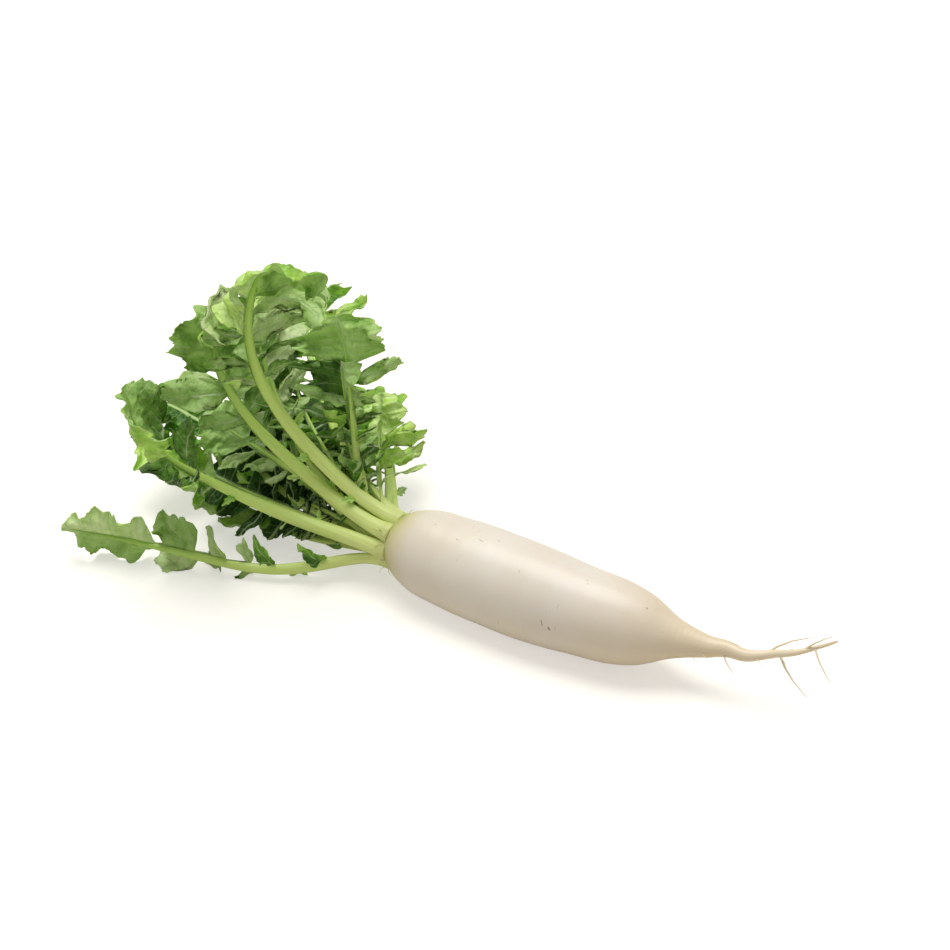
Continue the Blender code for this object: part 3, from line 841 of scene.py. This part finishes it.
def blade_surface(name, stops, gloss, glow, vein_colour):
    """Leaf skin: its green varies from leaflet to leaflet, made darker on the near young leaves as painted
    shade, pale veins run through it, and light shows through it. The upper side is waxy and deep green,
    the under side duller and paler."""
    made, tree = new_material(name)
    vein = node(tree, "ShaderNodeAttribute", {"attribute_name": "vein"}).outputs["Vector"]
    # The tone: random from leaflet to leaflet, and painted shade on the young leaves
    tone = node(tree, "ShaderNodeAttribute", {"attribute_name": "tone"}).outputs["Fac"]
    v = node(tree, "ShaderNodeSeparateXYZ", links={0: vein})
    place = node(tree, "ShaderNodeTexCoord").outputs["Object"]
    mottle = node(tree, "ShaderNodeTexNoise", {"Scale": 1 / TONE_PATCH, "Detail": 5.0}, {"Vector": place})
    cloud = node(
        tree, "ShaderNodeMapRange", {"From Min": 0.22, "From Max": 0.78}, {"Value": mottle}
    )
    mix = node(tree, "ShaderNodeMath", {"operation": "MULTIPLY_ADD", 1: 0.9}, {0: tone, 2: cloud})
    ranged = node(tree, "ShaderNodeMapRange", {"From Min": 0.15, "From Max": 1.7}, {"Value": mix})
    base = node(tree, "ShaderNodeValToRGB", {"stops": stops}, {"Fac": ranged})
    # The side veins: thin lines a few millimetres apart
    wander = node(tree, "ShaderNodeTexNoise", {"Scale": 1 / VEIN_WANDER, "Detail": 2.0}, {"Vector": place})
    order = node(
        tree, "ShaderNodeMath", {"operation": "MULTIPLY_ADD", 1: 0.7}, {0: wander, 2: v.outputs["Y"]}
    )
    saw = node(tree, "ShaderNodeMath", {"operation": "PINGPONG", 1: 0.5}, {0: order})
    side = node(
        tree,
        "ShaderNodeMapRange",
        {"From Min": 0.01, "From Max": 0.09, "To Min": 0.4, "To Max": 0.0},
        {"Value": saw},
    )
    apart = node(tree, "ShaderNodeMath", {"operation": "ABSOLUTE"}, {0: v.outputs["X"]})
    rib = node(
        tree,
        "ShaderNodeMapRange",
        {"From Min": 0.0002, "From Max": 0.0008, "To Min": 0.8, "To Max": 0.0},
        {"Value": apart},
    )
    midrib = node(
        tree,
        "ShaderNodeMapRange",
        {"From Min": 0.0002, "From Max": 0.0014, "To Min": 1.0, "To Max": 0.0},
        {"Value": v.outputs["Z"]},
    )
    both = node(tree, "ShaderNodeMath", {"operation": "MAXIMUM"}, {0: side, 1: rib})
    all_veins = node(tree, "ShaderNodeMath", {"operation": "MAXIMUM"}, {0: both, 1: midrib})
    veined = node(
        tree,
        "ShaderNodeMixRGB",
        {"Color2": linear(vein_colour)},
        {"Fac": all_veins, "Color1": base},
    )
    # The blade puckers between the veins, a few millimetres from swelling to swelling
    net = node(tree, "ShaderNodeTexVoronoi", {"Scale": 1 / VEIN_NET}, {"Vector": place})
    pucker = node(tree, "ShaderNodeTexNoise", {"Scale": 1 / PUCKER_SIZE, "Detail": 3.0}, {"Vector": place})
    puckered = node(
        tree, "ShaderNodeMath", {"operation": "MULTIPLY_ADD", 1: 3.0}, {0: pucker, 2: net}
    )
    height = node(
        tree, "ShaderNodeMath", {"operation": "MULTIPLY_ADD", 1: -0.6}, {0: all_veins, 2: puckered}
    )
    bump = node(tree, "ShaderNodeBump", {"Strength": 0.8, "Distance": 0.0011}, {"Height": height})
    sheet = node(
        tree,
        "ShaderNodeBsdfPrincipled",
        {"Roughness": gloss, "Specular IOR Level": 0.35},
        {"Base Color": veined, "Normal": bump},
    )
    lit = node(
        tree, "ShaderNodeMixRGB", {"Fac": 0.5, "Color2": linear("c2ea62")}, {"Color1": veined}
    )
    through = node(tree, "ShaderNodeBsdfTranslucent", links={"Color": lit, "Normal": bump})
    shader = node(tree, "ShaderNodeMixShader", {"Fac": glow}, {1: sheet, 2: through})
    node(tree, "ShaderNodeOutputMaterial", links={"Surface": shader})
    return made


def add_sheet(name, rows, veins, tones, skip, finishes, node_name=None):
    """A thin two-sided sheet through rows of points. skip(row, column) leaves a face out."""
    count, columns = rows.shape[:2]
    faces = []
    for i in range(count - 1):
        for k in range(columns - 1):
            if not skip(i, k):
                a = i * columns + k
                faces.append((a, a + 1, a + columns + 1, a + columns))
    flat = rows.reshape(-1, 3)
    piece = add_piece(name, flat, faces, finishes, node_name)
    piece.data.attributes.new("vein", "FLOAT_VECTOR", "POINT").data.foreach_set("vector", veins.ravel())
    piece.data.attributes.new("tone", "FLOAT", "POINT").data.foreach_set("value", tones.ravel())
    thick = piece.modifiers.new("thickness", "SOLIDIFY")
    thick.thickness = SHEET
    thick.offset = 0
    thick.material_offset = 1
    thick.material_offset_rim = 0


def build_blade(leaf, path, finishes, node_name=None):
    """The whole blade, open beside the stalk where its two halves stand apart."""
    rows, veins, tones = blade_sheet(leaf, path)
    shares = np.concatenate([s.near + s.width * s.places for s in blade_strips(leaf)])
    middle = BLADE_GRID[leaf.ring][2] - 1

    def beside_stalk(row, column):
        return column == middle and shares[row] < OPEN_TO

    name = f"{leaf.name}_blade_sheet"
    add_sheet(name, rows, veins, tones, beside_stalk, finishes, node_name)


def add_leaflet(name, foot, out, along, facing, length, width, rng, finishes):
    """A small leaflet on the bare part of a stalk: a toothed, pointed sheet that bends up or down."""
    count, columns = 26, 13
    share = np.linspace(0, 1, count)[:, None]
    across = np.linspace(-1, 1, columns)[None, :]
    shape = np.sin(math.pi * share**0.75) ** 0.8 * 0.5 + 0.05
    notch = tooth_notches(share[:, 0] * length * 1.4, rng)[:, None]
    half = width * shape - 3.0 * notch * share * (1 - share)
    spread = np.maximum(half, 0.0004) * across
    droop = rng.uniform(-0.9, 0.5) * length * share**2
    seeds = np.stack([share * length + 0 * spread, spread, 0 * spread + rng.uniform(0, 9)], axis=-1)
    crinkle = bumps(seeds.reshape(-1, 3), 0.006, 1.0).reshape(spread.shape)
    lift = droop + (0.45 * np.abs(spread) + 0.20 * length * crinkle) * np.minimum(1, share * 6)
    rows = foot + (share * length)[..., None] * out + spread[..., None] * along
    rows = rows + lift[..., None] * facing
    rows[:, :, 2] = np.maximum(rows[:, :, 2], FLOOR_GAP)
    order = (share * length - 0.8 * np.abs(spread)) / VEIN_SPACING
    veins = np.stack([spread, order, 0.004 + 0 * spread], axis=-1)
    tones = 0 * spread + rng.uniform(0, 1)
    add_sheet(name, rows, veins, tones, lambda row, column: False, finishes)


def add_small_leaflets(leaf, path, finishes):
    """The small leaflets that stand one by one on the stalk, below the blade."""
    rng = np.random.default_rng(leaf.seed + 200)
    count = max(2, round(leaf.bare * leaf.length / SMALL_LEAFLET_SPACING))
    for number in range(count):
        share = leaf.bare * (1 - (number + 0.7) / (count + 1.2))
        side = 1 if (number + leaf.seed) % 2 else -1
        at = share * leaf.length
        centre, across, up, along = (read(path, f, at) for f in ("line", "across", "up", "along"))
        foot = centre + side * 0.8 * across * float(read(path, "radius", at))
        out = unit(side * across + rng.uniform(0.4, 1.1) * along + rng.uniform(-0.2, 0.5) * up)
        facing = unit(np.cross(out, side * along))
        ahead = np.cross(facing, out)
        size = BIG_LEAFLETS.get(leaf.name, SMALL_LEAFLET) * rng.uniform(0.7, 1.2)
        name = f"{leaf.name}_leaflet_{number + 1}"
        add_leaflet(name, foot, out, ahead, facing, size, size * 0.6, rng, finishes)


# Waxy upper skin: deep green, with broad soft highlights
upper_side = blade_surface(
    "leaf_upper_side",
    [(0.0, "163c06"), (0.28, "447c1a"), (0.52, "92cc40"), (0.74, "cef474"), (1.0, "e8fda8")],
    0.36,
    0.26,
    "cfe69c",
)
# Fine-haired under skin: paler and duller, and more light comes through it
under_side = blade_surface(
    "leaf_under_side",
    [(0.0, "2e5a14"), (0.28, "78a842"), (0.54, "caea8c"), (1.0, "f6fecc")],
    0.42,
    0.42,
    "e2f2bc",
)
for leaf in leaves:
    build_blade(leaf, paths[leaf.name], [under_side, upper_side], f"{leaf.name}_blade")
    add_small_leaflets(leaf, paths[leaf.name], [under_side, upper_side])

# ---------------------------------------------------------------- the young leaves
# Small leaves from the heart of the tuft, on thin stalks that come off the crown between the two rings.
# They are the same flesh as the big ones, and only fill the space between them. Those on the near side
# carry painted shade: their green is made darker where the big stalks shade them.

YOUNG_LEAVES = [
    Habit(0.125, (15, 10, -5), (10, 5, 25), -80, 0.35, 4, 0.030, -0.5),
    Habit(0.150, (20, 20, 5), (5, 15, 45), -60, 0.35, 4, 0.032, 0.5),
    Habit(0.105, (25, 35, 20), (25, 35, 60), -90, 0.30, 4, 0.028, -1.0),
    Habit(0.165, (15, 25, 40), (15, 25, 50), -40, 0.40, 4, 0.034, 0.5),
    Habit(0.100, (35, 55, 60), (15, 30, 50), -100, 0.30, 3, 0.028, -0.5),
    Habit(0.130, (25, 40, 55), (5, 10, 25), -70, 0.35, 4, 0.030, 1.0),
    Habit(0.085, (15, 20, 30), (10, 15, 20), 80, 0.30, 3, 0.026, 0.5),
    Habit(0.160, (10, 5, 0), (0, 10, 40), -30, 0.45, 4, 0.034, -1.0),
    Habit(0.120, (25, 30, 20), (-5, 0, 20), -60, 0.30, 4, 0.030, 0.5),
    Habit(0.135, (30, 30, 10), (40, 55, 95), -80, 0.40, 4, 0.030, -0.5),
    # These two lie low under the near stalks. They are real young leaves, but their dark green there is
    # painted shade.
    Habit(0.140, (0, -5, -15), (0, 5, 20), -60, 0.35, 4, 0.026, -0.5),
    Habit(0.110, (8, 5, 0), (-3, 0, 10), -40, 0.30, 4, 0.026, 0.5),
]
YOUNG_START = 210
YOUNG_ROUND = 10  # so many go once round the crown, and the others stand between the first of them

for place, habit in enumerate(YOUNG_LEAVES):
    clock = YOUNG_START - 360 / YOUNG_ROUND * (place + place // YOUNG_ROUND / 2)
    leaf = Leaf(f"young_leaf_{place + 1:02d}", "young", clock, 31 + place, *habit)
    path = leaf_path(leaf)
    build_stalk(leaf, path, stalk_finish)
    build_blade(leaf, path, [under_side, upper_side])

# ---------------------------------------------------------------- the floor, the light and the camera
# A plain pale floor under a faint glow, which brings it to white without lighting the root from below,
# one broad soft light from above on the far side, and the camera above the root's near side.

FLOOR_REACH = 30
FLOOR_LEVEL = -0.0003
GLOW_LEVEL = -0.0001
ROOM_LIGHT = 0.34
SUN_STRENGTH = 2.5
SUN_WIDTH = math.radians(42)
SUN_FROM = Vector((-0.20, 0.15, 1.0))

def matt_floor():
    """A matt pale table top."""
    made, tree = new_material("matt_floor")
    shader = node(
        tree,
        "ShaderNodeBsdfPrincipled",
        {
            "Base Color": linear("d0ccc2"),
            "Roughness": 0.9,
            "Specular IOR Level": 0.2,
            "Emission Color": linear("fff6e6"),
            "Emission Strength": 0.12,
        },
    )
    node(tree, "ShaderNodeOutputMaterial", links={"Surface": shader})
    return made


def floor_glow():
    """Clear, but it adds an even white to what lies under it."""
    made, tree = new_material("floor_glow")
    clear = node(tree, "ShaderNodeBsdfTransparent")
    glow = node(tree, "ShaderNodeEmission", {"Strength": 0.40})
    shader = node(tree, "ShaderNodeAddShader", links={0: clear, 1: glow})
    node(tree, "ShaderNodeOutputMaterial", links={"Surface": shader})
    return made


def add_floor(name, height, finish):
    """One plain sheet of the floor, too wide for its edges to show."""
    mesh = bpy.data.meshes.new(name)
    far = FLOOR_REACH
    corners = [(-far, -far, 0), (far, -far, 0), (far, far, 0), (-far, far, 0)]
    mesh.from_pydata(corners, [], [(0, 1, 2, 3)])
    mesh.materials.append(finish)
    sheet = bpy.data.objects.new(name, mesh)
    bpy.context.scene.collection.objects.link(sheet)
    sheet.location.z = height
    return sheet


add_floor("floor", FLOOR_LEVEL, matt_floor())
glow_sheet = add_floor("floor_glow", GLOW_LEVEL, floor_glow())
glow_sheet.visible_diffuse = False
glow_sheet.visible_glossy = False
glow_sheet.visible_transmission = False
glow_sheet.visible_shadow = False

sun = bpy.data.lights.new("broad_light", "SUN")
sun.energy = SUN_STRENGTH
sun.angle = SUN_WIDTH
sun_holder = bpy.data.objects.new("broad_light", sun)
bpy.context.scene.collection.objects.link(sun_holder)
sun_holder.rotation_euler = SUN_FROM.to_track_quat("Z", "Y").to_euler()

world = bpy.data.worlds.new("room")
bpy.context.scene.world = world
world.use_nodes = True
room = world.node_tree.nodes["Background"]
room.inputs["Color"].default_value = (1, 1, 1, 1)
room.inputs["Strength"].default_value = ROOM_LIGHT
bpy.context.scene.view_settings.view_transform = "Standard"

AZIMUTH, ELEVATION = math.radians(33), math.radians(35)
CAMERA_DISTANCE = 1.60
CAMERA_TARGET = np.array([-0.105, 0.1275, 0.0])
back = np.array(
    [
        math.sin(AZIMUTH) * math.cos(ELEVATION),
        -math.cos(AZIMUTH) * math.cos(ELEVATION),
        math.sin(ELEVATION),
    ]
)
right = np.array([math.cos(AZIMUTH), math.sin(AZIMUTH), 0.0])
turned = Matrix(np.stack([right, np.cross(back, right), back], axis=1).tolist()).to_4x4()
turned.translation = Vector(CAMERA_TARGET + CAMERA_DISTANCE * back)
lens = bpy.data.cameras.new("camera")
lens.lens = 85
lens.sensor_width = 36
camera = bpy.data.objects.new("camera", lens)
bpy.context.scene.collection.objects.link(camera)
camera.matrix_world = turned
bpy.context.scene.camera = camera
